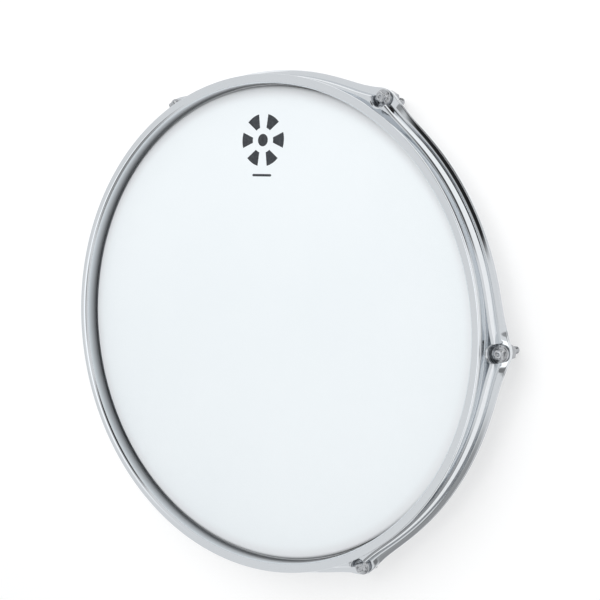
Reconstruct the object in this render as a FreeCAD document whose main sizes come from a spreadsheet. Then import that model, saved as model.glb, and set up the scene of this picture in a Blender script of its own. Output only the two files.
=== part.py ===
import FreeCAD, Part
import math
import os

import Sketcher

# Shallow fourteen-inch frame drum, tuned with a key, lying on its open back.
#
# The drum's axis is +Z. The origin is on that axis, in the plane that the rear rim rests on.
# From the top down: a triple-flanged hoop presses on the flesh hoop of the head, which is
# stretched over the bearing edge of a plywood shell. The shell stands on the turned-in rim of
# the rear hoop. Key rods pass through the ears of both hoops into nuts, and pull them together.
# All lengths are in millimetres.

SIZES = {
    # The whole drum.
    "drum_height": 47.0,            # rear rim to the crown of the front lip
    "lug_circle_radius": 192.6,     # drum axis to a rod's axis
    "hoop_sheet": 1.8,              # steel of both hoops
    "bend_inside": 1.0,             # inside radius of a pressed bend
    "bend_outside": 2.6,            # outside radius of the same bend
    # Front hoop.
    "lip_radius": 185.5,
    "front_wall_radius": 179.0,     # inside of the wall that stands above the head
    "ledge_height": 35.0,           # top of the ledge that presses on the flesh hoop
    "ledge_radius": 186.0,
    "skirt_foot_radius": 186.4,
    "front_flange_height": 27.8,    # top of the flange and of its ears
    "front_flange_radius": 190.7,
    "lip_edge_round": 0.8,
    # Rear hoop.
    "rear_flange_height": 25.5,
    "rear_flange_radius": 191.0,
    "rear_wall_radius": 178.2,
    "rear_rim_radius": 172.0,
    "rear_bend_inside": 0.6,
    # Ears.
    "ear_round_centre": 186.9,      # drum axis to the centre of the ear's tip
    "ear_round_radius": 12.0,
    "ear_flare_radius": 200.0,      # hollow curve from the flange to the ear's tip
    "ear_root_radius": 189.0,
    "ear_hole_radius": 3.3,
    # Shell.
    "shell_radius": 177.5,
    "shell_wall": 6.0,
    "bearing_edge_height": 35.0,
    "bearing_bevel": 3.0,           # inner bevel, as high as it is wide
    "bearing_round": 2.8,
    "shell_foot_chamfer": 0.8,
    # Drumhead.
    "head_film": 0.4,
    "head_gap": 0.3,                # between the shell's side and the film's collar
    "head_collar_foot": 30.0,
    # Flesh hoop.
    "flesh_hoop_inside": 178.7,
    "flesh_hoop_outside": 183.6,
    "flesh_hoop_foot": 27.4,
    "flesh_hoop_round": 1.0,
    # Tension rods.
    "rod_radius": 2.7,
    "rod_tip_height": 2.5,
    "rod_tip_chamfer": 0.8,
    "collar_radius": 5.9,
    "collar_foot_height": 29.4,
    "collar_thickness": 2.0,
    "key_head_side": 6.3,
    "key_head_top": 34.4,
    "key_head_chamfer": 0.6,
    # Washers.
    "washer_bore_radius": 2.95,
    "washer_radius": 5.5,
    "washer_thickness": 1.5,
    "washer_chamfer": 0.3,
    # Nuts.
    "nut_across_flats": 11.0,
    "nut_thickness": 7.0,
    "nut_bore_radius": 2.77,
    "nut_chamfer": 0.7,
    "nut_cone_spread": 11.2,        # how much wider the corner cone is at the top of the nut
}

LUG_COUNT = 6
LUG_STEP = 360 / LUG_COUNT

SAME_PLACE = 0.01       # two lengths closer than this are the same
HOLE_ERROR = 0.05       # share by which a hole's volume may miss its plain cylinder's
ROUGH_RADIUS = 50       # where an outline's corners lie before its dimensions place them

document = FreeCAD.newDocument("frame_drum")
sheet = document.addObject("Spreadsheet::Sheet", "Sizes")
for row, (alias, millimetres) in enumerate(SIZES.items(), start=1):
    sheet.set(f"A{row}", alias)
    sheet.set(f"B{row}", str(millimetres))
    sheet.setAlias(f"B{row}", alias)
document.recompute()


def origin_plane(body, role):
    """The body's own XY_Plane or XZ_Plane."""
    matches = [plane for plane in body.Origin.OriginFeatures if plane.Role == role]
    return matches[0]


def add_sketch(body, name, role, height="0"):
    """An empty sketch on one of the body's origin planes, raised by an expression."""
    sketch = body.newObject("Sketcher::SketchObject", name)
    sketch.AttachmentSupport = [(origin_plane(body, role), "")]
    sketch.MapMode = "FlatFace"
    sketch.setExpression("AttachmentOffset.Base.z", height)
    return sketch


def add_size(sketch, constraint, expression):
    """Add a dimension and bind it to the spreadsheet."""
    number = sketch.addConstraint(constraint)
    sketch.setExpression(f"Constraints[{number}]", expression)


def add_outline(sketch, corners):
    """Closed straight-sided outline; each corner is an (across, up) pair of expressions."""
    count = len(corners)
    starts = []
    for index in range(count):
        angle = 2 * math.pi * index / count
        rough_x = ROUGH_RADIUS * math.cos(angle)
        rough_y = ROUGH_RADIUS * math.sin(angle)
        starts.append(FreeCAD.Vector(rough_x, rough_y, 0))
    for index in range(count):
        sketch.addGeometry(Part.LineSegment(starts[index], starts[(index + 1) % count]), False)
    for index in range(count):
        sketch.addConstraint(Sketcher.Constraint("Coincident", index, 2, (index + 1) % count, 1))
    for index, (across, up) in enumerate(corners):
        start = starts[index]
        add_size(sketch, Sketcher.Constraint("DistanceX", -1, 1, index, 1, start.x), across)
        add_size(sketch, Sketcher.Constraint("DistanceY", -1, 1, index, 1, start.y), up)


def circle_edges(shape, spots):
    """Names of the full circles about Z that pass through the (radius, height) spots."""
    names = []
    for number, edge in enumerate(shape.Edges, start=1):
        if not isinstance(edge.Curve, Part.Circle):
            continue
        for radius, height in spots:
            same_radius = abs(edge.Curve.Radius - radius) < SAME_PLACE
            if same_radius and abs(edge.Curve.Center.z - height) < SAME_PLACE:
                names.append(f"Edge{number}")
    if len(names) < len(spots):
        raise RuntimeError(f"found {len(names)} edges for {len(spots)} spots")
    return names


def turned_body(label, corners):
    """A body turned about its own Z axis from a straight-sided outline."""
    body = document.addObject("PartDesign::Body", label)
    body.Label = label
    sketch = add_sketch(body, label + "_section", "XZ_Plane")
    add_outline(sketch, corners)
    turned = body.newObject("PartDesign::Revolution", label + "_turned")
    turned.Profile = sketch
    turned.ReferenceAxis = (sketch, ["V_Axis"])
    turned.Angle = 360
    document.recompute()
    return body


def round_edges(body, name, spots, radius):
    """Round the circles through the given spots by a radius expression."""
    base = body.Tip
    fillet = body.newObject("PartDesign::Fillet", name)
    fillet.Base = (base, circle_edges(base.Shape, spots))
    fillet.setExpression("Radius", radius)
    document.recompute()


def chamfer_edges(body, name, spots, width):
    """Chamfer the circles through the given spots by a width expression."""
    base = body.Tip
    chamfer = body.newObject("PartDesign::Chamfer", name)
    chamfer.Base = (base, circle_edges(base.Shape, spots))
    chamfer.setExpression("Size", width)
    document.recompute()


def repeat_around(body, feature, name):
    """Repeat one feature at every lug."""
    pattern = body.newObject("PartDesign::PolarPattern", name)
    pattern.Originals = [feature]
    z_axis = [line for line in body.Origin.OriginFeatures if line.Role == "Z_Axis"][0]
    pattern.Axis = (z_axis, [""])
    pattern.Angle = 360
    pattern.Occurrences = LUG_COUNT
    body.Tip = pattern
    document.recompute()


def add_ear_outline(sketch, flange_radius):
    """Ear at angle 0: a round tip, a hollow flare each side of it, and a root inside the flange."""
    rim = sheet.get(flange_radius)
    tip_centre = sheet.get("ear_round_centre")
    tip_radius = sheet.get("ear_round_radius")
    flare = sheet.get("ear_flare_radius")
    root = sheet.get("ear_root_radius")
    # The flare's centre is one flare radius outside both the rim and the tip circle.
    to_axis = rim + flare
    to_tip = tip_radius + flare
    flare_x = (to_axis ** 2 - to_tip ** 2 + tip_centre ** 2) / (2 * tip_centre)
    flare_y = math.sqrt(to_axis ** 2 - flare_x ** 2)
    rim_angle = math.atan2(flare_y, flare_x)
    tip_angle = math.atan2(flare_y, flare_x - tip_centre)

    up = FreeCAD.Vector(0, 0, 1)
    tip_circle = Part.Circle(FreeCAD.Vector(tip_centre, 0, 0), up, tip_radius)
    left_flare = Part.Circle(FreeCAD.Vector(flare_x, flare_y, 0), up, flare)
    right_flare = Part.Circle(FreeCAD.Vector(flare_x, -flare_y, 0), up, flare)
    root_circle = Part.Circle(FreeCAD.Vector(0, 0, 0), up, root)
    rim_circle = Part.Circle(FreeCAD.Vector(0, 0, 0), up, rim)
    half_turn = math.pi

    tip = sketch.addGeometry(Part.ArcOfCircle(tip_circle, -tip_angle, tip_angle), False)
    left = sketch.addGeometry(
        Part.ArcOfCircle(left_flare, rim_angle + half_turn, tip_angle + half_turn), False)
    right = sketch.addGeometry(
        Part.ArcOfCircle(right_flare, half_turn - tip_angle, half_turn - rim_angle), False)
    inner = sketch.addGeometry(Part.ArcOfCircle(root_circle, -rim_angle, rim_angle), False)
    outer_left = FreeCAD.Vector(rim * math.cos(rim_angle), rim * math.sin(rim_angle), 0)
    inner_left = FreeCAD.Vector(root * math.cos(rim_angle), root * math.sin(rim_angle), 0)
    outer_right = FreeCAD.Vector(outer_left.x, -outer_left.y, 0)
    inner_right = FreeCAD.Vector(inner_left.x, -inner_left.y, 0)
    left_side = sketch.addGeometry(Part.LineSegment(outer_left, inner_left), False)
    right_side = sketch.addGeometry(Part.LineSegment(inner_right, outer_right), False)
    guide = sketch.addGeometry(rim_circle, True)

    joins = [
        ("Tangent", tip, 2, left, 2),
        ("Tangent", tip, 1, right, 1),
        ("Coincident", left, 1, left_side, 1),
        ("Coincident", right, 2, right_side, 2),
        ("Coincident", left_side, 2, inner, 2),
        ("Coincident", right_side, 1, inner, 1),
        ("PointOnObject", tip, 3, -1),
        ("Coincident", inner, 3, -1, 1),
        ("Coincident", guide, 3, -1, 1),
        ("Tangent", left, 1, guide),
        ("Tangent", right, 2, guide),
        ("Equal", left, right),
        ("PointOnObject", -1, 1, left_side),
        ("PointOnObject", -1, 1, right_side),
    ]
    for join in joins:
        sketch.addConstraint(Sketcher.Constraint(*join))
    add_size(sketch, Sketcher.Constraint("Radius", guide, rim), "Sizes." + flange_radius)
    add_size(sketch, Sketcher.Constraint("Radius", tip, tip_radius), "Sizes.ear_round_radius")
    add_size(sketch, Sketcher.Constraint("Radius", left, flare), "Sizes.ear_flare_radius")
    add_size(sketch, Sketcher.Constraint("Radius", inner, root), "Sizes.ear_root_radius")
    add_size(sketch, Sketcher.Constraint("DistanceX", -1, 1, tip, 3, tip_centre), "Sizes.ear_round_centre")


def add_ears(body, flange_radius, flange_height):
    """Ears on a hoop's flange, level with it, each with the hole for a rod."""
    label = body.Label
    underside = f"Sizes.{flange_height} - Sizes.hoop_sheet"
    outline = add_sketch(body, label + "_ear_outline", "XY_Plane", underside)
    add_ear_outline(outline, flange_radius)
    ear = body.newObject("PartDesign::Pad", label + "_ear")
    ear.Profile = outline
    ear.setExpression("Length", "Sizes.hoop_sheet")
    document.recompute()
    repeat_around(body, ear, label + "_ears")

    hole_circle = add_sketch(body, label + "_hole_circle", "XY_Plane", "Sizes." + flange_height)
    lug_radius = sheet.get("lug_circle_radius")
    hole_radius = sheet.get("ear_hole_radius")
    circle = Part.Circle(FreeCAD.Vector(lug_radius, 0, 0), FreeCAD.Vector(0, 0, 1), hole_radius)
    hole_circle.addGeometry(circle, False)
    hole_circle.addConstraint(Sketcher.Constraint("PointOnObject", 0, 3, -1))
    add_size(hole_circle, Sketcher.Constraint("Radius", 0, hole_radius), "Sizes.ear_hole_radius")
    add_size(hole_circle, Sketcher.Constraint("DistanceX", -1, 1, 0, 3, lug_radius),
             "Sizes.lug_circle_radius")
    volume_before = body.Shape.Volume
    hole = body.newObject("PartDesign::Pocket", label + "_hole")
    hole.Profile = hole_circle
    hole.setExpression("Length", "Sizes.hoop_sheet")
    document.recompute()
    repeat_around(body, hole, label + "_holes")
    removed = volume_before - body.Shape.Volume
    expected = LUG_COUNT * math.pi * hole_radius ** 2 * sheet.get("hoop_sheet")
    if abs(removed - expected) > HOLE_ERROR * expected:
        raise RuntimeError(f"{label}: the holes removed {removed:.1f}, not {expected:.1f}")


def make_front_hoop():
    """Triple-flanged hoop: lip, wall, ledge on the flesh hoop, skirt and flange."""
    steel = "Sizes.hoop_sheet"
    corners = [
        ("Sizes.front_wall_radius", "Sizes.drum_height"),
        ("Sizes.lip_radius", "Sizes.drum_height"),
        ("Sizes.lip_radius", f"Sizes.drum_height - {steel}"),
        (f"Sizes.front_wall_radius + {steel}", f"Sizes.drum_height - {steel}"),
        (f"Sizes.front_wall_radius + {steel}", "Sizes.ledge_height"),
        ("Sizes.ledge_radius", "Sizes.ledge_height"),
        ("Sizes.skirt_foot_radius", "Sizes.front_flange_height"),
        ("Sizes.front_flange_radius", "Sizes.front_flange_height"),
        ("Sizes.front_flange_radius", f"Sizes.front_flange_height - {steel}"),
        (f"Sizes.skirt_foot_radius - {steel}", f"Sizes.front_flange_height - {steel}"),
        (f"Sizes.ledge_radius - {steel}", f"Sizes.ledge_height - {steel}"),
        ("Sizes.front_wall_radius", f"Sizes.ledge_height - {steel}"),
    ]
    body = turned_body("front_hoop", corners)
    thickness = sheet.get("hoop_sheet")
    top = sheet.get("drum_height")
    wall = sheet.get("front_wall_radius")
    ledge = sheet.get("ledge_height")
    lip = sheet.get("lip_radius")
    skirt_inside = sheet.get("skirt_foot_radius") - thickness
    flange_underside = sheet.get("front_flange_height") - thickness
    outer_bends = [
        (wall, top),
        (wall, ledge - thickness),
        (sheet.get("ledge_radius"), ledge),
        (skirt_inside, flange_underside),
    ]
    round_edges(body, "front_outer_bends", outer_bends, "Sizes.bend_outside")
    inner_bends = [(wall + thickness, top - thickness), (wall + thickness, ledge)]
    round_edges(body, "front_inner_bends", inner_bends, "Sizes.bend_inside")
    round_edges(body, "lip_edge", [(lip, top), (lip, top - thickness)], "Sizes.lip_edge_round")
    add_ears(body, "front_flange_radius", "front_flange_height")


def make_rear_hoop():
    """Pressed ring with a flange and ears at the top and a turned-in rim that carries the shell."""
    steel = "Sizes.hoop_sheet"
    corners = [
        ("Sizes.rear_wall_radius", "Sizes.rear_flange_height"),
        ("Sizes.rear_flange_radius", "Sizes.rear_flange_height"),
        ("Sizes.rear_flange_radius", f"Sizes.rear_flange_height - {steel}"),
        (f"Sizes.rear_wall_radius + {steel}", f"Sizes.rear_flange_height - {steel}"),
        (f"Sizes.rear_wall_radius + {steel}", "0"),
        ("Sizes.rear_rim_radius", "0"),
        ("Sizes.rear_rim_radius", steel),
        ("Sizes.rear_wall_radius", steel),
    ]
    body = turned_body("rear_hoop", corners)
    thickness = sheet.get("hoop_sheet")
    wall = sheet.get("rear_wall_radius")
    flange_top = sheet.get("rear_flange_height")
    outer_bends = [(wall, flange_top), (wall + thickness, 0)]
    round_edges(body, "rear_outer_bends", outer_bends, "Sizes.bend_outside")
    inner_bends = [(wall + thickness, flange_top - thickness), (wall, thickness)]
    round_edges(body, "rear_inner_bends", inner_bends, "Sizes.rear_bend_inside")
    add_ears(body, "rear_flange_radius", "rear_flange_height")


def make_shell():
    """Plywood ring with a bevelled bearing edge, standing on the rear hoop's rim."""
    inside = "Sizes.shell_radius - Sizes.shell_wall"
    corners = [
        (inside, "Sizes.hoop_sheet"),
        ("Sizes.shell_radius", "Sizes.hoop_sheet"),
        ("Sizes.shell_radius", "Sizes.bearing_edge_height"),
        (f"{inside} + Sizes.bearing_bevel", "Sizes.bearing_edge_height"),
        (inside, "Sizes.bearing_edge_height - Sizes.bearing_bevel"),
    ]
    body = turned_body("shell", corners)
    radius = sheet.get("shell_radius")
    round_edges(body, "bearing_edge", [(radius, sheet.get("bearing_edge_height"))], "Sizes.bearing_round")
    chamfer_edges(body, "shell_foot", [(radius, sheet.get("hoop_sheet"))], "Sizes.shell_foot_chamfer")


def make_drumhead():
    """Film stretched flat over the bearing edge, with its collar turned down outside the shell."""
    inside = "Sizes.shell_radius + Sizes.head_gap"
    corners = [
        ("0", "Sizes.bearing_edge_height"),
        (inside, "Sizes.bearing_edge_height"),
        (inside, "Sizes.head_collar_foot"),
        (f"{inside} + Sizes.head_film", "Sizes.head_collar_foot"),
        (f"{inside} + Sizes.head_film", "Sizes.bearing_edge_height + Sizes.head_film"),
        ("0", "Sizes.bearing_edge_height + Sizes.head_film"),
    ]
    body = turned_body("drumhead", corners)
    collar_inside = sheet.get("shell_radius") + sheet.get("head_gap")
    film = sheet.get("head_film")
    edge_height = sheet.get("bearing_edge_height")
    round_edges(body, "collar_inside", [(collar_inside, edge_height)], "Sizes.bearing_round")
    round_edges(body, "collar_outside", [(collar_inside + film, edge_height + film)],
                "Sizes.bearing_round + Sizes.head_film")


def make_flesh_hoop():
    """Aluminium ring that grips the head's edge, under the front hoop's ledge."""
    ledge_underside = "Sizes.ledge_height - Sizes.hoop_sheet"
    corners = [
        ("Sizes.flesh_hoop_inside", "Sizes.flesh_hoop_foot"),
        ("Sizes.flesh_hoop_outside", "Sizes.flesh_hoop_foot"),
        ("Sizes.flesh_hoop_outside", ledge_underside),
        ("Sizes.flesh_hoop_inside", ledge_underside),
    ]
    body = turned_body("flesh_hoop", corners)
    spots = []
    for radius in (sheet.get("flesh_hoop_inside"), sheet.get("flesh_hoop_outside")):
        spots.append((radius, sheet.get("flesh_hoop_foot")))
        spots.append((radius, sheet.get("ledge_height") - sheet.get("hoop_sheet")))
    round_edges(body, "flesh_hoop_rounds", spots, "Sizes.flesh_hoop_round")


def place_at_lug(part, number):
    """Stand a part, made about its own Z axis, on the axis of one lug and turn it outwards."""
    angle = f"{LUG_STEP * (number - 1)} deg"
    part.setExpression("Placement.Base.x", f"Sizes.lug_circle_radius * cos({angle})")
    part.setExpression("Placement.Base.y", f"Sizes.lug_circle_radius * sin({angle})")
    part.setExpression("Placement.Rotation.Angle", angle)


def make_tension_rod(number):
    """Key rod: square head, round collar and a threaded shank, drawn at its major diameter."""
    collar_top = "Sizes.collar_foot_height + Sizes.collar_thickness"
    corners = [
        ("0", "Sizes.rod_tip_height"),
        ("Sizes.rod_radius", "Sizes.rod_tip_height"),
        ("Sizes.rod_radius", "Sizes.collar_foot_height"),
        ("Sizes.collar_radius", "Sizes.collar_foot_height"),
        ("Sizes.collar_radius", collar_top),
        ("0", collar_top),
    ]
    label = f"tension_rod_{number}"
    body = turned_body(label, corners)
    chamfer_edges(body, label + "_tip", [(sheet.get("rod_radius"), sheet.get("rod_tip_height"))],
                  "Sizes.rod_tip_chamfer")
    square = add_sketch(body, label + "_square", "XY_Plane", collar_top)
    half = "Sizes.key_head_side / 2"
    add_outline(square, [(f"-{half}", f"-{half}"), (half, f"-{half}"), (half, half), (f"-{half}", half)])
    head = body.newObject("PartDesign::Pad", label + "_key_head")
    head.Profile = square
    head.setExpression("Length", f"Sizes.key_head_top - ({collar_top})")
    document.recompute()
    top_edges = []
    for index, edge in enumerate(head.Shape.Edges, start=1):
        if abs(edge.CenterOfMass.z - sheet.get("key_head_top")) < SAME_PLACE:
            top_edges.append(f"Edge{index}")
    chamfer = body.newObject("PartDesign::Chamfer", label + "_head_chamfer")
    chamfer.Base = (head, top_edges)
    chamfer.setExpression("Size", "Sizes.key_head_chamfer")
    place_at_lug(body, number)


def make_washer(number):
    """Flat washer between a rod's collar and the front ear."""
    foot = "Sizes.front_flange_height"
    top = "Sizes.front_flange_height + Sizes.washer_thickness"
    corners = [
        ("Sizes.washer_bore_radius", foot),
        ("Sizes.washer_radius", foot),
        ("Sizes.washer_radius", top),
        ("Sizes.washer_bore_radius", top),
    ]
    label = f"rod_washer_{number}"
    body = turned_body(label, corners)
    top_height = sheet.get("front_flange_height") + sheet.get("washer_thickness")
    chamfer_edges(body, label + "_edge", [(sheet.get("washer_radius"), top_height)], "Sizes.washer_chamfer")
    place_at_lug(body, number)


def make_lug_nut(number):
    """Hexagon nut under the rear ear: a prism, its corners turned off by a cone, and a bore."""
    label = f"lug_nut_{number}"
    foot = "Sizes.rear_flange_height - Sizes.hoop_sheet - Sizes.nut_thickness"
    corner_radius = "Sizes.nut_across_flats / sqrt(3)"
    prism = document.addObject("Part::Prism", label + "_prism")
    prism.Polygon = 6
    prism.setExpression("Circumradius", corner_radius)
    prism.setExpression("Height", "Sizes.nut_thickness")
    prism.setExpression("Placement.Base.z", foot)
    cone = document.addObject("Part::Cone", label + "_cone")
    cone.setExpression("Radius1", f"{corner_radius} - Sizes.nut_chamfer")
    cone.setExpression("Radius2", f"{corner_radius} - Sizes.nut_chamfer + Sizes.nut_cone_spread")
    cone.setExpression("Height", "Sizes.nut_thickness")
    cone.setExpression("Placement.Base.z", foot)
    turned = document.addObject("Part::Common", label + "_turned")
    turned.Base = prism
    turned.Tool = cone
    bore = document.addObject("Part::Cylinder", label + "_bore")
    bore.setExpression("Radius", "Sizes.nut_bore_radius")
    bore.setExpression("Height", "Sizes.nut_thickness")
    bore.setExpression("Placement.Base.z", foot)
    nut = document.addObject("Part::Cut", label)
    nut.Base = turned
    nut.Tool = bore
    nut.Label = label
    place_at_lug(nut, number)


make_front_hoop()
make_rear_hoop()
make_shell()
make_drumhead()
make_flesh_hoop()
node_names = ["front_hoop", "rear_hoop", "shell", "drumhead", "flesh_hoop"]
for lug_number in range(1, LUG_COUNT + 1):
    make_tension_rod(lug_number)
    make_washer(lug_number)
    make_lug_nut(lug_number)
    node_names.append(f"tension_rod_{lug_number}")
    node_names.append(f"rod_washer_{lug_number}")
    node_names.append(f"lug_nut_{lug_number}")
document.recompute()

for item in document.Objects:
    if "Invalid" in item.State or "Error" in item.State:
        raise RuntimeError(f"{item.Label} did not compute: {item.State}")

os.makedirs("parts", exist_ok=True)
for node_name in node_names:
    node = document.getObjectsByLabel(node_name)[0]
    shape = node.Shape
    if shape.isNull() or not shape.isValid() or len(shape.Solids) != 1:
        raise RuntimeError(f"{node_name} is not one valid solid")
    shape.exportStep(f"parts/{node_name}.step")
    print(f"{node_name}: {shape.Volume:.1f} mm3")
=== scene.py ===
import math

import bpy
import numpy as np
from mathutils import Matrix, Vector


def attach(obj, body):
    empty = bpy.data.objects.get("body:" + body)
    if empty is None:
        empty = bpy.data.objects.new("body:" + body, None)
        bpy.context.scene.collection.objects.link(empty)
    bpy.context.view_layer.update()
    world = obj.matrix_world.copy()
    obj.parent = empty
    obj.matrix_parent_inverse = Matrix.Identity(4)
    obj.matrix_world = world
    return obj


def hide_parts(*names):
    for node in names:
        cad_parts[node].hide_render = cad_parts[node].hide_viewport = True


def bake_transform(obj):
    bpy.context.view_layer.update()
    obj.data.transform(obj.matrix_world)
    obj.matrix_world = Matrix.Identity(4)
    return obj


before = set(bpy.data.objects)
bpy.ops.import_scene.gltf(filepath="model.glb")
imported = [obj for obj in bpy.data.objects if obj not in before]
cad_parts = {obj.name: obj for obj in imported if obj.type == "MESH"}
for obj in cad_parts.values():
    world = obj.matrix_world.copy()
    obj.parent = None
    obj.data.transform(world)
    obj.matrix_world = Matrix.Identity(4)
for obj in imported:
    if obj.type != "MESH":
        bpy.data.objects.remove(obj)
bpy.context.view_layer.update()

# Shapes are in millimetres until make_object scales them. The camera, the materials, the floor and
# the lights are in metres.
MM = 0.001
LUG_COUNT = 6
LUG_CIRCLE = 192.6
FULL_TURN = 2 * math.pi
LUG_STEP = FULL_TURN / LUG_COUNT

# Camera ---------------------------------------------------------------------

CAMERA_PLACE = (0.4355, 0.0902, 0.602)
CAMERA_RIGHT = (0.81513, 0.03671, -0.57812)
CAMERA_UP = (-0.08654, 0.99452, -0.05886)
CAMERA_BACK = (0.57278, 0.09800, 0.81383)
CAMERA_LENS = 56.88
CAMERA_SENSOR = 36.0
CAMERA_NEAR = 0.01
CAMERA_FAR = 60.0

camera_data = bpy.data.cameras.new("camera")
camera_data.lens = CAMERA_LENS
camera_data.sensor_width = CAMERA_SENSOR
camera_data.clip_start = CAMERA_NEAR
camera_data.clip_end = CAMERA_FAR
camera = bpy.data.objects.new("camera", camera_data)
bpy.context.scene.collection.objects.link(camera)
camera_turn = Matrix((CAMERA_RIGHT, CAMERA_UP, CAMERA_BACK)).transposed().to_4x4()
camera.matrix_world = Matrix.Translation(CAMERA_PLACE) @ camera_turn
bpy.context.scene.camera = camera
bpy.context.scene.view_settings.view_transform = "Standard"


# Node helpers ---------------------------------------------------------------

class Nodes:
    """Short calls for building one node tree."""

    def __init__(self, tree):
        self.tree = tree

    def add(self, kind, **values):
        node = self.tree.nodes.new(kind)
        for key, value in values.items():
            setattr(node, key, value)
        return node

    def link(self, source, target):
        self.tree.links.new(source, target)

    def feed(self, socket, value):
        if isinstance(value, bpy.types.NodeSocket):
            self.link(value, socket)
        else:
            socket.default_value = value

    def math(self, operation, first, second=0.0):
        node = self.add("ShaderNodeMath", operation=operation)
        for socket, value in zip(node.inputs, (first, second)):
            self.feed(socket, value)
        return node.outputs[0]

    def parts(self, vector):
        """The X, Y and Z of a vector."""
        node = self.add("ShaderNodeSeparateXYZ")
        self.link(vector, node.inputs[0])
        return node.outputs["X"], node.outputs["Y"], node.outputs["Z"]

    def joined(self, *values):
        """A vector with those values, and 0 for the ones left out."""
        node = self.add("ShaderNodeCombineXYZ")
        for socket, value in zip(node.inputs, values):
            self.feed(socket, value)
        return node.outputs[0]

    def axis_distance(self, x, y):
        squares = self.math("ADD", self.math("POWER", x, 2.0), self.math("POWER", y, 2.0))
        return self.math("SQRT", squares)

    def noise(self, vector, scale, detail, rough):
        node = self.add("ShaderNodeTexNoise")
        self.link(vector, node.inputs["Vector"])
        node.inputs["Scale"].default_value = scale
        node.inputs["Detail"].default_value = detail
        node.inputs["Roughness"].default_value = rough
        return node.outputs["Fac"]

    def spread(self, value, low, high, to_low, to_high, smooth=False):
        node = self.add("ShaderNodeMapRange")
        if smooth:
            node.interpolation_type = "SMOOTHSTEP"
        for name, amount in (("Value", value), ("From Min", low), ("From Max", high),
                             ("To Min", to_low), ("To Max", to_high)):
            self.feed(node.inputs[name], amount)
        return node.outputs["Result"]

    def mix(self, share, first, second):
        node = self.add("ShaderNodeMix", data_type="RGBA")
        self.feed(node.inputs["Factor"], share)
        self.feed(node.inputs[6], first)
        self.feed(node.inputs[7], second)
        return node.outputs[2]

    def bump(self, height, strength, distance, normal=None):
        node = self.add("ShaderNodeBump")
        node.inputs["Strength"].default_value = strength
        node.inputs["Distance"].default_value = distance
        self.link(height, node.inputs["Height"])
        if normal is not None:
            self.link(normal, node.inputs["Normal"])
        return node.outputs["Normal"]


def new_material(name):
    """(material, its Nodes, its Principled shader, the Object coordinates)."""
    material = bpy.data.materials.new(name)
    material.use_nodes = True
    nodes = Nodes(material.node_tree)
    shader = next(n for n in material.node_tree.nodes if n.type == "BSDF_PRINCIPLED")
    coordinates = nodes.add("ShaderNodeTexCoord").outputs["Object"]
    return material, nodes, shader, coordinates


# Painted shade: the front hoop chrome's colour darkens toward the foot of the wall's inner face, where
# the wall meets the head.
WALL_FACE = (0.1797, 0.1807)     # distance from the axis: painted shade inside the first, none past the second
WALL_SHADE = (0.0375, 0.0455)    # height: painted shade darkest below the first, none above the second
WALL_PAINTED_SHADE = (0.26, 0.27, 0.28, 1)


def painted_wall_foot_shade(nodes, place, plated):
    """The plating's colour, darker toward the foot of the wall's inner face, as in the photo."""
    # painted shade mixed into the plating's colour
    x, y, z = nodes.parts(place)
    inside = nodes.spread(nodes.axis_distance(x, y), *WALL_FACE, 1.0, 0.0, smooth=True)
    depth = nodes.spread(z, *WALL_SHADE, 1.0, 0.0)
    return nodes.mix(nodes.math("MULTIPLY", inside, depth), plated, WALL_PAINTED_SHADE)


def plated_metal(name, light, shade, rough_low, rough_high, haze_scale, ripple, wall_foot_painted_shade=False):
    """Polished or plated metal: a faint haze, fine wiping marks and a slight ripple."""
    wiping_scale = haze_scale * 14
    ripple_scale = haze_scale * 1.7
    ripple_height = 0.0006
    material, nodes, shader, place = new_material(name)
    shader.inputs["Metallic"].default_value = 1.0
    haze = nodes.noise(place, haze_scale, 4.0, 0.6)
    plated = nodes.mix(haze, shade, light)
    # painted shade at the foot of the hoop wall's inner face
    if wall_foot_painted_shade:
        plated = painted_wall_foot_shade(nodes, place, plated)
    nodes.feed(shader.inputs["Base Color"], plated)
    wiping = nodes.noise(place, wiping_scale, 3.0, 0.7)
    marks = nodes.math("MULTIPLY", haze, wiping)
    nodes.feed(shader.inputs["Roughness"], nodes.spread(marks, 0.12, 0.42, rough_low, rough_high))
    swell = nodes.noise(place, ripple_scale, 1.0, 0.4)
    nodes.feed(shader.inputs["Normal"], nodes.bump(swell, ripple, ripple_height))
    return material


# Materials ------------------------------------------------------------------

# name, light and dark colour, least and most roughness, scale of the haze, strength of the ripple
# the front hoop's chrome has painted shade toward the foot of its wall's inner face
chrome = plated_metal("hoop_chrome", (0.80, 0.82, 0.84, 1), (0.74, 0.765, 0.79, 1),
                      0.035, 0.085, 9.0, 0.10, wall_foot_painted_shade=True)
rear_chrome = plated_metal("rear_chrome", (0.79, 0.81, 0.83, 1), (0.72, 0.745, 0.77, 1),
                           0.045, 0.10, 9.0, 0.10)
rod_chrome = plated_metal("rod_chrome", (0.74, 0.75, 0.76, 1), (0.30, 0.31, 0.33, 1),
                          0.06, 0.18, 260.0, 0.5)
washer_steel = plated_metal("washer_steel", (0.60, 0.61, 0.62, 1), (0.34, 0.35, 0.37, 1),
                            0.12, 0.28, 260.0, 0.4)
nut_steel = plated_metal("nut_steel", (0.50, 0.51, 0.53, 1), (0.27, 0.28, 0.30, 1),
                         0.10, 0.24, 200.0, 0.4)


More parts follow.
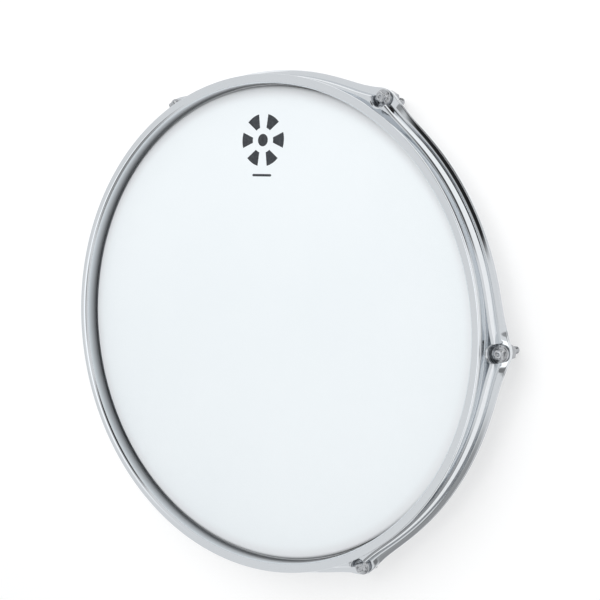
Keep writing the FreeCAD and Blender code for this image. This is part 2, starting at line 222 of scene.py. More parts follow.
def make_mesh_film():
    """Woven polyester: two crossed sets of threads with tiny open holes between them."""
    thread_pitch = 0.62 * MM
    painted_rim_shade = (0.168, 0.1765)      # distance from the axis, where painted shade darkens the head toward its edge beside the wall
    light_through = 0.17             # stands for light that comes through the weave
    material, nodes, shader, place = new_material("mesh_film")
    x, y, _ = nodes.parts(place)
    waves = [nodes.math("SINE", nodes.math("MULTIPLY", side, FULL_TURN / thread_pitch))
             for side in (x, y)]
    weave = nodes.math("MULTIPLY", waves[0], waves[1])
    cloud = nodes.noise(place, 7.0, 3.0, 0.55)
    speckle = nodes.noise(place, 900.0, 2.0, 0.6)
    cloudy = nodes.mix(nodes.spread(cloud, 0.3, 0.7, 0.0, 1.0),
                       (0.700, 0.740, 0.758, 1), (0.724, 0.760, 0.776, 1))
    thready = nodes.mix(nodes.spread(weave, -1.0, 1.0, 0.0, 0.10), cloudy, (0.60, 0.65, 0.68, 1))
    dusty = nodes.mix(nodes.spread(speckle, 0.60, 0.85, 0.0, 0.12), thready, (0.63, 0.66, 0.68, 1))
    # painted shade: a grey-pink ring darkens the head next to the hoop's wall
    rim = nodes.spread(nodes.axis_distance(x, y), *painted_rim_shade, 0.0, 0.45, smooth=True)
    nodes.feed(shader.inputs["Base Color"], nodes.mix(rim, dusty, (0.60, 0.585, 0.60, 1)))
    nodes.feed(shader.inputs["Roughness"], nodes.spread(speckle, 0.3, 0.7, 0.50, 0.62))
    shader.inputs["Specular IOR Level"].default_value = 0.25
    shader.inputs["Sheen Weight"].default_value = 0.08
    shader.inputs["Emission Color"].default_value = (0.96, 0.985, 1.0, 1)
    shader.inputs["Emission Strength"].default_value = light_through
    fibres = nodes.bump(speckle, 0.10, 0.00005)
    nodes.feed(shader.inputs["Normal"], nodes.bump(weave, 0.35, 0.00006, fibres))
    return material


def make_plywood():
    """Lacquered maple plies: rings seen on the cut edges, straight grain on the two faces."""
    ply = 1.0 * MM
    round_stretch, height_stretch = 0.5, 14.0     # the grain runs round the shell
    material, nodes, shader, place = new_material("shell_ply")
    x, y, z = nodes.parts(place)
    radius = nodes.axis_distance(x, y)
    layer = nodes.math("FRACT", nodes.math("DIVIDE", radius, ply * 2))
    edge_band = nodes.spread(layer, 0.47, 0.53, 0.0, 1.0, smooth=True)
    unrolled = nodes.joined(
        nodes.math("MULTIPLY", nodes.math("ARCTAN2", y, x), round_stretch),
        nodes.math("MULTIPLY", z, height_stretch), radius)
    grain = nodes.noise(unrolled, 26.0, 6.0, 0.62)
    fleck = nodes.noise(unrolled, 160.0, 3.0, 0.6)
    wood = nodes.mix(nodes.spread(grain, 0.30, 0.70, 0.0, 1.0),
                     (0.50, 0.305, 0.150, 1), (0.72, 0.500, 0.285, 1))
    flecked = nodes.mix(nodes.spread(fleck, 0.55, 0.80, 0.0, 0.35), wood, (0.40, 0.225, 0.105, 1))
    _, _, facing_up = nodes.parts(nodes.add("ShaderNodeNewGeometry").outputs["Normal"])
    is_edge = nodes.spread(nodes.math("ABSOLUTE", facing_up), 0.3, 0.6, 0.0, 0.55)
    banded = nodes.mix(nodes.math("MULTIPLY", is_edge, edge_band), flecked, (0.33, 0.185, 0.085, 1))
    nodes.feed(shader.inputs["Base Color"], banded)
    nodes.feed(shader.inputs["Roughness"], nodes.spread(fleck, 0.3, 0.7, 0.30, 0.48))
    shader.inputs["Coat Weight"].default_value = 0.35
    shader.inputs["Coat Roughness"].default_value = 0.18
    nodes.feed(shader.inputs["Normal"], nodes.bump(grain, 0.25, 0.0003))
    return material


def make_brushed_alloy():
    """Aluminium drawn round its ring, so the brushing follows the circle."""
    round_stretch, height_stretch = 0.6, 220.0
    material, nodes, shader, place = new_material("flesh_alloy")
    x, y, z = nodes.parts(place)
    drawn = nodes.joined(
        nodes.math("MULTIPLY", nodes.math("ARCTAN2", y, x), round_stretch),
        nodes.math("MULTIPLY", z, height_stretch))
    brushing = nodes.noise(drawn, 22.0, 4.0, 0.7)
    shader.inputs["Metallic"].default_value = 1.0
    nodes.feed(shader.inputs["Base Color"],
               nodes.mix(brushing, (0.60, 0.61, 0.62, 1), (0.78, 0.79, 0.80, 1)))
    nodes.feed(shader.inputs["Roughness"], nodes.spread(brushing, 0.3, 0.7, 0.28, 0.46))
    nodes.feed(shader.inputs["Normal"], nodes.bump(brushing, 0.2, 0.0001))
    return material


def make_ink():
    """Screen-printed ink, with faint patches where it lies thinner."""
    material, nodes, shader, place = new_material("print_ink")
    patch = nodes.noise(place, 500.0, 3.0, 0.6)
    nodes.feed(shader.inputs["Base Color"],
               nodes.mix(nodes.spread(patch, 0.35, 0.75, 0.0, 1.0),
                         (0.022, 0.026, 0.032, 1), (0.060, 0.066, 0.074, 1)))
    nodes.feed(shader.inputs["Roughness"], nodes.spread(patch, 0.3, 0.7, 0.45, 0.65))
    nodes.feed(shader.inputs["Normal"], nodes.bump(patch, 0.2, 0.00004))
    return material


mesh_film = make_mesh_film()
plywood = make_plywood()
brushed_alloy = make_brushed_alloy()
print_ink = make_ink()


# Mesh helpers ---------------------------------------------------------------

def make_object(name, points, faces, material, smooth_angle=None):
    """A mesh object from points in millimetres."""
    mesh = bpy.data.meshes.new(name)
    mesh.from_pydata([tuple(point * MM) for point in np.asarray(points, float)], [], faces)
    mesh.validate()
    mesh.materials.append(material)
    made = bpy.data.objects.new(name, mesh)
    bpy.context.scene.collection.objects.link(made)
    mesh.polygons.foreach_set("use_smooth", [True] * len(mesh.polygons))
    if smooth_angle is not None:
        mesh.set_sharp_from_angle(angle=smooth_angle)
    return made


def grid_faces(rows, columns, wrap_rows, wrap_columns):
    """Quads between the points of a rows x columns grid, stored row by row."""
    faces = []
    for row in range(rows if wrap_rows else rows - 1):
        below = (row + 1) % rows
        for column in range(columns if wrap_columns else columns - 1):
            beside = (column + 1) % columns
            faces.append((row * columns + column, below * columns + column,
                          below * columns + beside, row * columns + beside))
    return faces


def rounded_line(corners, radii, steps):
    """The (across, up) line through the corners, each inner corner rounded to its radius where
    the lines beside it leave room."""
    least_reach = 0.12
    most_share = 0.48                        # of the shorter line beside a corner
    nearly_straight = math.radians(89.9)
    line = [corners[0]]
    for index in range(1, len(corners) - 1):
        corner = corners[index]
        before = corners[index - 1] - corner
        after = corners[index + 1] - corner
        before_unit = before / np.linalg.norm(before)
        after_unit = after / np.linalg.norm(after)
        half = math.acos(np.clip(before_unit @ after_unit, -1, 1)) / 2
        radius = radii[index - 1]
        reach = max(radius / math.tan(half), least_reach)
        reach = min(reach, most_share * np.linalg.norm(before), most_share * np.linalg.norm(after))
        if half > nearly_straight:
            for step in range(steps + 1):
                share = 2 * step / steps - 1
                line.append(corner + (after_unit if share > 0 else before_unit) * reach * abs(share))
            continue
        radius = reach * math.tan(half)
        middle = before_unit + after_unit
        centre = corner + middle / np.linalg.norm(middle) * radius / math.sin(half)
        start = corner + before_unit * reach - centre
        end = corner + after_unit * reach - centre
        sweep = math.acos(np.clip(start @ end / radius ** 2, -1, 1))
        for step in range(steps + 1):
            share = step / steps
            weights = (math.sin((1 - share) * sweep), math.sin(share * sweep))
            line.append(centre + (start * weights[0] + end * weights[1]) / math.sin(sweep))
    line.append(corners[-1])
    return np.array(line)


def thick_outline(line, thickness):
    """Closed outline of a sheet of that thickness along a line, its cut ends slightly rounded."""
    edge = 0.35
    edge_steps = 5
    along = np.gradient(line, axis=0)
    along /= np.linalg.norm(along, axis=1)[:, None]
    across = np.stack([-along[:, 1], along[:, 0]], axis=1)
    half = thickness / 2
    outline = list(line + across * half)
    for end, direction in ((-1, 1), (0, -1)):
        outward = along[end] * direction
        side = across[end] * direction
        for corner in (1, -1):
            centre = line[end] + side * corner * (half - edge) + outward * (half - edge)
            for step in range(edge_steps + 1):
                angle = math.pi / 2 * step / edge_steps
                if corner == -1:
                    angle = math.pi / 2 - angle
                offset = side * corner * math.cos(angle) + outward * math.sin(angle)
                outline.append(centre + offset * edge)
        if direction == 1:
            outline.extend((line - across * half)[::-1])
    return np.array(outline)


def lug_offset(angle):
    """Arc length in millimetres from the nearest lug, with its sign."""
    turns = angle / LUG_STEP
    return (turns - round(turns)) * LUG_STEP * LUG_CIRCLE


def sweep_angles():
    """Angles round a hoop: close together at the lugs' pockets, further apart between them."""
    pocket_edge, pocket_gap = 9.5, 0.22
    shoulder_edge, shoulder_gap = 40.0, 0.9
    plain_count = 26
    sector = LUG_STEP * LUG_CIRCLE
    offsets = list(np.arange(0, pocket_edge, pocket_gap))
    offsets += list(np.arange(pocket_edge, shoulder_edge, shoulder_gap))
    offsets += list(np.linspace(shoulder_edge, sector / 2, plain_count))[:-1]
    mirrored = [sector - offset for offset in offsets[1:]]
    sector_offsets = sorted(offsets + [sector / 2] + mirrored)
    angles = []
    for lug in range(LUG_COUNT):
        angles += [lug * LUG_STEP + offset / LUG_CIRCLE for offset in sector_offsets]
    return np.array(sorted(set(np.round(angles, 9))))


def swept_hoop(name, section, material):
    """A closed ring from section(angle), which gives a closed outline in (radius, height)."""
    angles = sweep_angles()
    rings = []
    for angle in angles:
        outline = section(angle)
        ring = np.stack([outline[:, 0] * math.cos(angle), outline[:, 0] * math.sin(angle),
                         outline[:, 1]], axis=1)
        rings.append(ring)
    columns = len(rings[0])
    return make_object(name, np.concatenate(rings),
                       grid_faces(len(angles), columns, True, True), material)


def unit(angle):
    return np.array((math.cos(angle), math.sin(angle)))


def smooth_step(value, low, high):
    """0 below low, 1 above high, and eased between them."""
    share = min(1.0, max(0.0, (value - low) / (high - low)))
    return share * share * (3 - 2 * share)


def soft_min(first, second, width):
    """The lower of two lengths, with the change between them eased over a width."""
    gap = max(width - abs(first - second), 0.0) / width
    return min(first, second) - gap * gap * width / 4


# Hoops ----------------------------------------------------------------------

SHEET = 1.8
HALF_SHEET = SHEET / 2
BEND_STEPS = 8
LIP_RADIUS = 185.5
LIP_EDGE_DROP = 0.08     # below TOP, for the lip's edge and for its bend into the wall
LIP_BEND_DROP = 0.55
WALL_RADIUS = 179.9      # middle of the front hoop's wall
LEDGE_RADIUS = 186.0
SKIRT_RADIUS = 187.3
FLANGE_RADIUS = 190.5
REAR_BEND_RADIUS = 188.6
REAR_WALL_RADIUS = 179.1
REAR_RIM_RADIUS = 172.0
LUG_SPREAD = 14.5        # half width, at half height, of the swelling at a lug
EAR_REACH = 8.2          # how far an ear's tip stands out from the flange
FRONT_EAR_EXTRA = 0.2    # and how much further on the front hoop
SHOULDER_REACH = 5.2     # how far the ledge and the skirt swell out at a lug
POCKET_RADIUS = 6.6      # round pocket pressed into the shoulder for a rod's collar
POCKET_SLANT = 0.1       # how far its wall leans in at the ledge and out at the foot
POCKET_EASE = 1.2        # width over which its wall runs into the shoulder
TOP = 47.0
FRONT_LEDGE = 35.0
FRONT_FLANGE = 27.8
REAR_FLANGE = 25.5
FLANGE_FLAT = 1.9        # flat part of the front flange, next to the skirt
FLANGE_DROP = 1.25       # how far a flange slopes down to its edge, between the ears
SEAT_EDGE = 7.5          # an ear is flat this far from its rod
SLOPE_EDGE = 15.0        # and the flange has its full slope from here


def swelling(offset):
    """1 at a lug, falling away to nearly 0 between two lugs."""
    return 1 / (1 + (offset / LUG_SPREAD) ** 2)


def pocket_wall(offset):
    """Radius of the pocket's wall at an offset from the lug; far outside where there is none."""
    inside = POCKET_RADIUS ** 2 - offset ** 2
    if inside <= 0:
        return LUG_CIRCLE + 2 * abs(offset)
    return LUG_CIRCLE - math.sqrt(inside)


def front_section(angle):
    """Triple-flanged section, from the lip's edge to the flange's edge."""
    offset = lug_offset(angle)
    half = HALF_SHEET
    swell = swelling(offset)
    shoulder_swell = SHOULDER_REACH * swell
    pocket = pocket_wall(offset)
    ledge = soft_min(LEDGE_RADIUS + shoulder_swell, pocket - POCKET_SLANT, POCKET_EASE)
    foot = soft_min(SKIRT_RADIUS + shoulder_swell, pocket + POCKET_SLANT, POCKET_EASE)
    flange = FLANGE_RADIUS + (EAR_REACH + FRONT_EAR_EXTRA) * swell
    slope = smooth_step(abs(offset), SEAT_EDGE, SLOPE_EDGE)
    corners = np.array([
        (LIP_RADIUS - half, TOP - half - LIP_EDGE_DROP),
        (WALL_RADIUS, TOP - half - LIP_BEND_DROP),
        (WALL_RADIUS, FRONT_LEDGE - half),
        (ledge - half, FRONT_LEDGE - half),
        (foot - half, FRONT_FLANGE - half),
        (foot - half + FLANGE_FLAT, FRONT_FLANGE - half),
        (flange - half, FRONT_FLANGE - half - FLANGE_DROP * slope),
    ])
    lip_bend, wall_bend, least_bend = 1.7, 2.6, 1.0
    shoulder_bend = least_bend + 0.3 * smooth_step(abs(offset), 0.7 * POCKET_RADIUS,
                                                   1.3 * POCKET_RADIUS)
    radii = (lip_bend, wall_bend, shoulder_bend, least_bend, least_bend)
    return thick_outline(rounded_line(corners, radii, BEND_STEPS), SHEET)


def rear_section(angle):
    """Flange at the top, an upright wall, and a rim turned in under the shell."""
    offset = lug_offset(angle)
    half = HALF_SHEET
    flange = FLANGE_RADIUS + EAR_REACH * swelling(offset)
    slope = smooth_step(abs(offset), SEAT_EDGE, SLOPE_EDGE)
    corners = np.array([
        (flange - half, REAR_FLANGE - half - FLANGE_DROP * slope),
        (REAR_BEND_RADIUS, REAR_FLANGE - half),
        (REAR_WALL_RADIUS, REAR_FLANGE - half),
        (REAR_WALL_RADIUS, half),
        (REAR_RIM_RADIUS + half, half),
    ])
    flange_bend, wall_bend, rim_bend = 2.0, 2.0, 1.8
    radii = (flange_bend, wall_bend, rim_bend)
    return thick_outline(rounded_line(corners, radii, BEND_STEPS), SHEET)


def drill_ears(hoop):
    """Cut the six rod holes through a hoop's ears."""
    hole_radius = 3.3
    foot, head = 20.5, 31.0
    steps = 48
    start = 0.37                             # of a step, where a hole's first point lies
    sharp_angle = math.radians(40)
    points, faces = [], []
    for lug in range(LUG_COUNT):
        first = len(points)
        centre_x = LUG_CIRCLE * math.cos(lug * LUG_STEP)
        centre_y = LUG_CIRCLE * math.sin(lug * LUG_STEP)
        for height in (foot, head):
            for step in range(steps):
                angle = FULL_TURN * (step + start) / steps
                points.append((centre_x + hole_radius * math.cos(angle),
                               centre_y + hole_radius * math.sin(angle), height))
        for step in range(steps):
            beside = (step + 1) % steps
            faces.append((first + step, first + beside, first + steps + beside, first + steps + step))
        faces.append(tuple(range(first + steps - 1, first - 1, -1)))
        faces.append(tuple(range(first + steps, first + 2 * steps)))
    drill = make_object("ear_drill", points, faces, hoop.data.materials[0])
    cut = hoop.modifiers.new("drill", "BOOLEAN")
    cut.operation = "DIFFERENCE"
    cut.solver = "EXACT"
    cut.object = drill
    bpy.context.view_layer.update()
    depsgraph = bpy.context.evaluated_depsgraph_get()
    drilled = bpy.data.meshes.new_from_object(hoop.evaluated_get(depsgraph))
    hoop.modifiers.clear()
    hoop.data = drilled
    drilled.set_sharp_from_angle(angle=sharp_angle)
    bpy.data.objects.remove(drill)


front_hoop = swept_hoop("front_hoop_pressed", front_section, chrome)
drill_ears(front_hoop)
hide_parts("front_hoop")
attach(front_hoop, "tuning_hoop")

rear_hoop = swept_hoop("rear_hoop_pressed", rear_section, rear_chrome)
drill_ears(rear_hoop)
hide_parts("rear_hoop")
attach(rear_hoop, "base")


# Head -----------------------------------------------------------------------

HEAD_TOP = 35.4
HEAD_FILM = 0.4
HEAD_COLLAR = 178.2
HEAD_FOOT = 30.0
HEAD_STEPS = 720


def make_head():
    """Film stretched over the bearing edge, its collar turned down to the flesh hoop."""
    bend, bend_steps = 2.2, 10
    middle_edge, rim_start = 160.0, 161.0    # rings lie closer together from here outward
    radii = list(np.linspace(0.8, middle_edge, 60))
    radii += list(np.linspace(rim_start, HEAD_COLLAR - bend, 18))
    upper = [(radius, HEAD_TOP) for radius in radii]
    for step in range(1, bend_steps + 1):
        angle = math.pi / 2 * (1 - step / bend_steps)
        upper.append((HEAD_COLLAR - bend + bend * math.cos(angle),
                      HEAD_TOP - bend + bend * math.sin(angle)))
    upper += [(HEAD_COLLAR, height) for height in np.linspace(HEAD_TOP - bend - 0.3, HEAD_FOOT, 6)]
    line = np.array(upper)
    along = np.gradient(line, axis=0)
    along /= np.linalg.norm(along, axis=1)[:, None]
    inner = line + np.stack([along[:, 1], -along[:, 0]], axis=1) * HEAD_FILM
    loop = np.concatenate([line, inner[::-1]])
    points = []
    for radius, height in loop:
        for step in range(HEAD_STEPS):
            angle = FULL_TURN * step / HEAD_STEPS
            points.append((radius * math.cos(angle), radius * math.sin(angle), height))
    faces = grid_faces(len(loop), HEAD_STEPS, False, True)
    top_centre = len(points)
    points.append((0, 0, HEAD_TOP))
    under_centre = len(points)
    points.append((0, 0, HEAD_TOP - HEAD_FILM))
    last = (len(loop) - 1) * HEAD_STEPS
    for step in range(HEAD_STEPS):
        beside = (step + 1) % HEAD_STEPS
        faces.append((step, beside, top_centre))
        faces.append((last + beside, last + step, under_centre))
    return make_object("mesh_head", points, faces, mesh_film)


head = make_head()
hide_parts("drumhead")
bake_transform(head)


def make_print():
    """Generic printed mark: six wedges round a dot, one for each rod, over a short bar."""
    centre = np.array((-2.5, 138.5))
    ink = 0.03
    wedge_outer, wedge_inner = (19.5, 0.30), (9.5, 0.20)      # radius and half angle
    dot_radius = 4.6
    bar_centre = centre + np.array((0, -26.0))
    bar_half, bar_round = 8.0, 0.9
    shapes = []
    for index in range(LUG_COUNT):
        middle = index * LUG_STEP
        wedge = []
        for (radius, half_angle), way in ((wedge_outer, 1), (wedge_inner, -1)):
            for side in np.linspace(-half_angle, half_angle, 9)[::way]:
                wedge.append(centre + radius * unit(middle + side))
        shapes.append(wedge)
    shapes.append([centre + dot_radius * unit(angle) for angle in np.linspace(0, FULL_TURN, 48, False)])
    bar = []
    for side in (1, -1):
        end = bar_centre + np.array((side * bar_half, 0))
        for step in range(9):
            bar.append(end + bar_round * unit(side * math.pi / 2 - math.pi * step / 8))
    shapes.append(bar)
    points, faces = [], []
    for shape in shapes:
        first = len(points)
        count = len(shape)
        points += [(x, y, HEAD_TOP + ink) for x, y in shape]
        points += [(x, y, HEAD_TOP - ink) for x, y in shape]
        faces.append(tuple(range(first, first + count)))
        faces.append(tuple(range(first + 2 * count - 1, first + count - 1, -1)))
        for index in range(count):
            beside = (index + 1) % count
            faces.append((first + index, first + count + index,
                          first + count + beside, first + beside))
    return make_object("printed_mark", points, faces, print_ink, math.radians(30))


mark = make_print()
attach(mark, "base")


# Rods, washers and nuts -----------------------------------------------------

ROD_RADIUS = 2.7
ROD_TIP = 2.5
DOME_HEIGHT = 1.5        # of the rod's rounded tip
LEAST_RADIUS = 0.12      # of the tip's first ring
THREAD_TOP = 22.5
THREAD_PITCH = 25.4 / 24
THREAD_DEPTH = 0.42
COLLAR_RADIUS = 5.9
COLLAR_FOOT = 29.4
COLLAR_TOP = 31.4
KEY_SIDE = 6.3
KEY_TOP = 34.4
WASHER_BORE = 2.95
WASHER_RADIUS = 5.5
WASHER_TOP = 29.3
NUT_FLATS = 11.0
NUT_BORE = 2.77
NUT_TOP = 23.7
NUT_THICKNESS = 7.0
NUT_MOUTH = 0.55         # depth and width of the countersink
ROUND_STEPS = 48


def turned_points(profile, steps):
    """Rings of points for a list of (radius, height), each ring with that many steps."""
    points = []
    for radius, height in profile:
        for step in range(steps):
            angle = FULL_TURN * step / steps
            points.append((radius * math.cos(angle), radius * math.sin(angle), height))
    return points


def thread_depth(turns):
    """Depth of the groove at a place along the thread: flat crest, sloping flanks, round root."""
    place = abs((turns % 1.0) - 0.5) * 2
    return THREAD_DEPTH * (1 - smooth_step(place, 0.15, 0.85))


def rod_shank():
    """Threaded shank from its domed tip up to the collar, as rings of points."""
    rows = []
    tip_rows = 8
    rows_a_pitch = 9
    groove_starts = (ROD_TIP + 1.4, ROD_TIP + 2.6)
    groove_ends = (THREAD_TOP - 1.6, THREAD_TOP)
    for row in range(tip_rows):
        angle = math.pi / 2 * row / tip_rows
        rows.append((ROD_TIP + DOME_HEIGHT * (1 - math.cos(angle)), math.sin(angle), 0.0))
    height = ROD_TIP + DOME_HEIGHT
    while height < THREAD_TOP:
        rows.append((height, 1.0, 1.0))
        height += THREAD_PITCH / rows_a_pitch
    rows += [(THREAD_TOP + 0.2, 1.0, 0.0), (COLLAR_FOOT, 1.0, 0.0)]
    points = []
    for height, share, cut in rows:
        fade = cut * smooth_step(height, *groove_starts)
        fade *= 1 - smooth_step(height, *groove_ends)
        for step in range(ROUND_STEPS):
            angle = FULL_TURN * step / ROUND_STEPS
            groove = fade * thread_depth(height / THREAD_PITCH - angle / FULL_TURN)
            radius = max(LEAST_RADIUS, ROD_RADIUS * share - groove)
            points.append((radius * math.cos(angle), radius * math.sin(angle), height))
    return points, len(rows)


def collar_profile():
    """(radius, height) up the collar: eased foot, upright side, domed top."""
    side = 0.5
    dome_reach, dome_steps = 1.35, 9
    foot = [(ROD_RADIUS + 0.05, COLLAR_FOOT), (COLLAR_RADIUS - 0.25, COLLAR_FOOT),
            (COLLAR_RADIUS - 0.07, COLLAR_FOOT + 0.07), (COLLAR_RADIUS, COLLAR_FOOT + 0.25),
            (COLLAR_RADIUS, COLLAR_FOOT + side)]
    dome = []
    for step in range(1, dome_steps):
        angle = math.pi / 2 * step / dome_steps
        dome.append((COLLAR_RADIUS - dome_reach * (1 - math.cos(angle)),
                     COLLAR_FOOT + side + math.sin(angle)))
    return foot + dome


def square_ring(half, corner, height):
    """ROUND_STEPS points on a square of that half side with rounded corners."""
    ring = []
    flat = half - corner
    twist = math.pi / 4 / 6
    for step in range(ROUND_STEPS):
        angle = FULL_TURN * step / ROUND_STEPS + twist
        reach = 1 / max(abs(math.cos(angle)), abs(math.sin(angle)))
        x, y = half * reach * math.cos(angle), half * reach * math.sin(angle)
        if abs(x) > flat and abs(y) > flat:
            away = np.array((abs(x) - flat, abs(y) - flat))
            away *= corner / np.linalg.norm(away)
            x, y = math.copysign(flat + away[0], x), math.copysign(flat + away[1], y)
        ring.append((x, y, height))
    return ring


def make_rod(number, place, angle):
    """One key rod: threaded shank, collar, and a square head with eased edges and a punched top."""
    points, rows = rod_shank()
    collar = collar_profile()
    points += turned_points(collar, ROUND_STEPS)
    rows += len(collar)
    half = KEY_SIDE / 2
    # half side, corner radius and height of each ring
    head_rings = [(half + 0.55, 1.6, COLLAR_TOP), (half + 0.18, 0.9, COLLAR_TOP + 0.12),
                  (half, 0.5, COLLAR_TOP + 0.5), (half - 0.02, 0.5, KEY_TOP - 0.75),
                  (half - 0.18, 0.6, KEY_TOP - 0.38), (half - 0.55, 0.8, KEY_TOP - 0.10),
                  (half - 0.95, 0.9, KEY_TOP), (half - 1.45, 1.0, KEY_TOP - 0.02)]
    for ring_half, corner, height in head_rings:
        points += square_ring(ring_half, corner, height)
    rows += len(head_rings)
    dimple = [(1.25, KEY_TOP - 0.06), (1.0, KEY_TOP - 0.22), (0.4, KEY_TOP - 0.40)]
    points += turned_points(dimple, ROUND_STEPS)
    rows += len(dimple)
    faces = [face[::-1] for face in grid_faces(rows, ROUND_STEPS, False, True)]
    faces.append(tuple(range(ROUND_STEPS - 1, -1, -1)))
    last = (rows - 1) * ROUND_STEPS
    faces.append(tuple(range(last, last + ROUND_STEPS)))
    rod = make_object(f"key_rod_{number}", turned(points, place, angle), faces, rod_chrome,
                      math.radians(35))
    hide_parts(f"tension_rod_{number}")
    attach(rod, f"rod_{number}")


def turned(points, place, angle):
    """Points turned about their own Z axis and moved to a lug."""
    cosine, sine = math.cos(angle), math.sin(angle)
    made = np.array(points, float)
    x = made[:, 0] * cosine - made[:, 1] * sine + place[0]
    y = made[:, 0] * sine + made[:, 1] * cosine + place[1]
    return np.stack([x, y, made[:, 2]], axis=1)


def make_washer(number, place, angle):
    """Flat washer with rolled edges."""
    edge = 0.28
    profile = [(WASHER_BORE, FRONT_FLANGE + edge), (WASHER_BORE, WASHER_TOP - edge),
               (WASHER_BORE + 0.1, WASHER_TOP - 0.08), (WASHER_BORE + edge, WASHER_TOP),
               (WASHER_RADIUS - edge * 1.6, WASHER_TOP), (WASHER_RADIUS - 0.14, WASHER_TOP - 0.12),
               (WASHER_RADIUS, WASHER_TOP - edge * 1.5), (WASHER_RADIUS, FRONT_FLANGE + edge),
               (WASHER_RADIUS - 0.1, FRONT_FLANGE + 0.08), (WASHER_RADIUS - edge, FRONT_FLANGE),
               (WASHER_BORE + edge, FRONT_FLANGE), (WASHER_BORE + 0.1, FRONT_FLANGE + 0.08)]
    faces = grid_faces(len(profile), ROUND_STEPS, True, True)
    points = turned(turned_points(profile, ROUND_STEPS), place, angle)
    washer = make_object(f"washer_{number}", points, faces, washer_steel, math.radians(40))
    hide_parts(f"rod_washer_{number}")
    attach(washer, "tuning_hoop")


def make_nut(number, place, angle):
    """Hexagon nut: corners turned off at both faces, a plain bore with a countersunk mouth at each."""
    steps = 72
    foot = NUT_TOP - NUT_THICKNESS
    corner_radius = NUT_FLATS / math.sqrt(3)
    rings = []
    chamfer_rows = ((0.0, -0.75), (0.22, -0.35), (0.55, 0.0))
    levels = [(foot + rise, corner_radius + cut) for rise, cut in chamfer_rows]
    levels += [(NUT_TOP - rise, corner_radius + cut) for rise, cut in chamfer_rows[::-1]]
    for height, limit in levels:
        for step in range(steps):
            turn_angle = FULL_TURN * step / steps
            side = (turn_angle + math.pi / 6) % (math.pi / 3) - math.pi / 6
            flat = NUT_FLATS / 2 / math.cos(side)
            radius = soft_min(flat, limit, 0.25)
            rings.append((radius * math.cos(turn_angle), radius * math.sin(turn_angle), height))
    bore_rows = 24
    bore = [(NUT_BORE + NUT_MOUTH, NUT_TOP), (NUT_BORE, NUT_TOP - NUT_MOUTH)]
    for row in range(1, bore_rows):
        bore.append((NUT_BORE, NUT_TOP - NUT_MOUTH - (NUT_THICKNESS - 2 * NUT_MOUTH) * row / bore_rows))
    bore += [(NUT_BORE, foot + NUT_MOUTH), (NUT_BORE + NUT_MOUTH, foot)]
    rings += turned_points(bore, steps)
    faces = [face[::-1] for face in grid_faces(len(levels) + len(bore), steps, True, True)]
    nut = make_object(f"hex_nut_{number}", turned(rings, place, angle), faces, nut_steel,
                      math.radians(32))
    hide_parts(f"lug_nut_{number}")
    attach(nut, "base")


for lug in range(LUG_COUNT):
    lug_angle = lug * LUG_STEP
    lug_place = (LUG_CIRCLE * math.cos(lug_angle), LUG_CIRCLE * math.sin(lug_angle))
    make_rod(lug + 1, lug_place, lug_angle)
    make_washer(lug + 1, lug_place, lug_angle)
    make_nut(lug + 1, lug_place, lug_angle)

for node_name, finish in (("shell", plywood), ("flesh_hoop", brushed_alloy)):
    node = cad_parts[node_name]
    node.data.materials.clear()
    node.data.materials.append(finish)


# Floor and light ------------------------------------------------------------

def make_floor():
    """A pale floor just under the drum, which glows a little so that it stays near white."""
    half = 12.0
    height = -0.0002
    mesh = bpy.data.meshes.new("floor")
    mesh.from_pydata([(-half, -half, height), (half, -half, height), (half, half, height),
                      (-half, half, height)], [], [(0, 1, 2, 3)])
    floor = bpy.data.objects.new("floor", mesh)
    bpy.context.scene.collection.objects.link(floor)
    material, nodes, shader, place = new_material("floor_white")
    soft = nodes.noise(place, 0.6, 2.0, 0.5)
    nodes.feed(shader.inputs["Base Color"],
               nodes.mix(soft, (0.50, 0.50, 0.50, 1), (0.52, 0.52, 0.52, 1)))
    shader.inputs["Roughness"].default_value = 0.9
    shader.inputs["Specular IOR Level"].default_value = 0.0
    shader.inputs["Emission Color"].default_value = (1, 1, 1, 1)
    shader.inputs["Emission Strength"].default_value = 0.54
    mesh.materials.append(material)


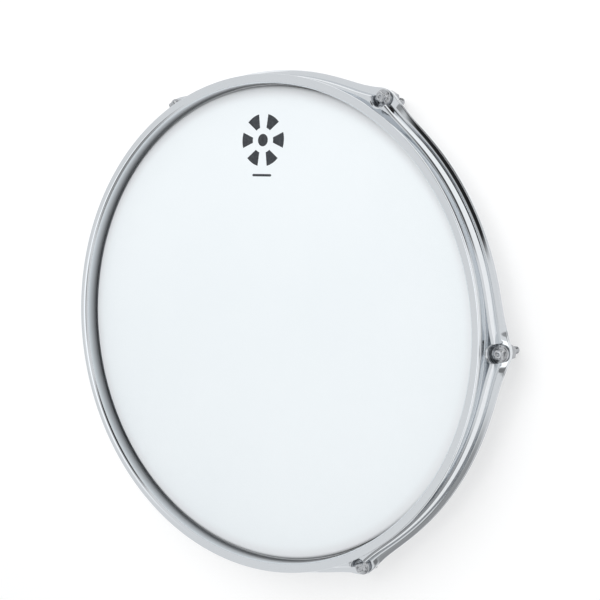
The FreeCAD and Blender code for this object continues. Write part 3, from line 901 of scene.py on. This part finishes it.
def make_world():
    """Even white studio with five soft darker zones and a brighter one for the chrome to pick up."""
    world = bpy.data.worlds.new("studio")
    bpy.context.scene.world = world
    world.use_nodes = True
    nodes = Nodes(world.node_tree)
    background = next(n for n in world.node_tree.nodes if n.type == "BACKGROUND")
    direction = nodes.add("ShaderNodeTexCoord").outputs["Generated"]
    zones = (
        # direction, cosine at the zone's edge, cosine at its core, brightness there
        ((0.38, -0.13, 0.92), 0.975, 0.99, 0.22),
        ((-0.13, -0.51, 0.85), 0.95, 0.985, 0.22),
        ((0.14, 0.44, 0.89), 0.95, 0.985, 0.34),
        ((0.47, 0.66, 0.58), 0.905, 0.955, 0.02),
        ((0.32, -0.82, 0.46), 0.85, 0.95, 0.34),
        ((-0.40, -0.12, 0.91), 0.984, 0.994, 1.4),
    )
    studio_level = 0.81
    level = studio_level
    for toward, edge, core, brightness in zones:
        unit = Vector(toward).normalized()
        product = nodes.add("ShaderNodeVectorMath", operation="DOT_PRODUCT")
        nodes.link(direction, product.inputs[0])
        product.inputs[1].default_value = unit
        share = nodes.spread(product.outputs["Value"], edge, core, 0.0, 1.0, smooth=True)
        mixed = nodes.add("ShaderNodeMix", data_type="FLOAT")
        nodes.feed(mixed.inputs[0], share)
        nodes.feed(mixed.inputs[2], level)
        nodes.feed(mixed.inputs[3], brightness)
        level = mixed.outputs[0]
    background.inputs["Color"].default_value = (0.97, 0.985, 1.0, 1)
    nodes.feed(background.inputs["Strength"], level)


def make_softbox(name, place, aim, size, watts):
    """A round soft light that the chrome doesn't mirror."""
    data = bpy.data.lights.new(name, "AREA")
    data.shape = "DISK"
    data.size = size
    data.energy = watts
    lamp = bpy.data.objects.new(name, data)
    lamp.location = place
    lamp.rotation_mode = "QUATERNION"
    lamp.rotation_quaternion = (Vector(aim) - Vector(place)).to_track_quat("-Z", "Y")
    lamp.visible_glossy = False
    bpy.context.scene.collection.objects.link(lamp)


make_floor()
make_world()
make_softbox("key", (0.10, 0.95, 1.45), (0, 0, 0), 1.5, 16.0)
